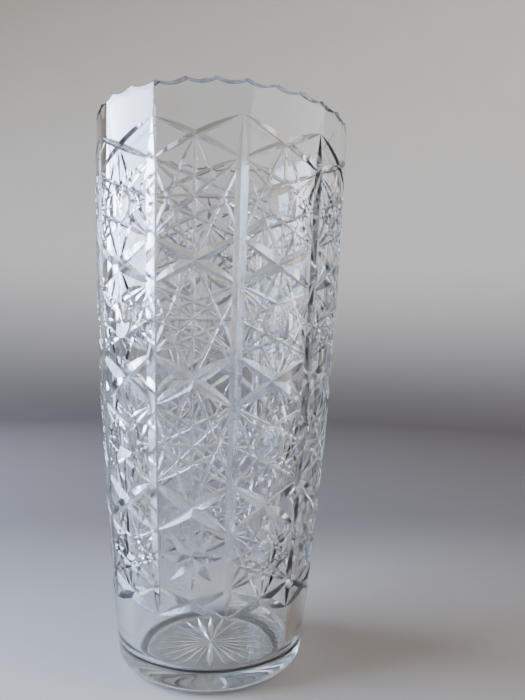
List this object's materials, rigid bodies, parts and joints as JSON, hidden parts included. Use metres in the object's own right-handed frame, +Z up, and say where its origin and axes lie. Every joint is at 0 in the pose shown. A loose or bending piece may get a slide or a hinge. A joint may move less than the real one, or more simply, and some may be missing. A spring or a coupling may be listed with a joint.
{
  "type": "cut crystal vase",
  "caption": "Tall tapering cut crystal vase with a scalloped rim, panels of mitre-cut stars and hollows between upright grooves, and a sunburst under a thick base.",
  "frame": {"origin": "centre of the face that the vase stands on", "axes": "+Z up along the vase's axis, towards its mouth; -Y is the front"},
  "size_m": [0.1196, 0.1198, 0.25],
  "materials": {
    "crystal": "wheel-cut and acid-polished clear lead crystal"
  },
  "bodies": {
    "root": {"vase_body": "crystal"}
  },
  "joints": []
}
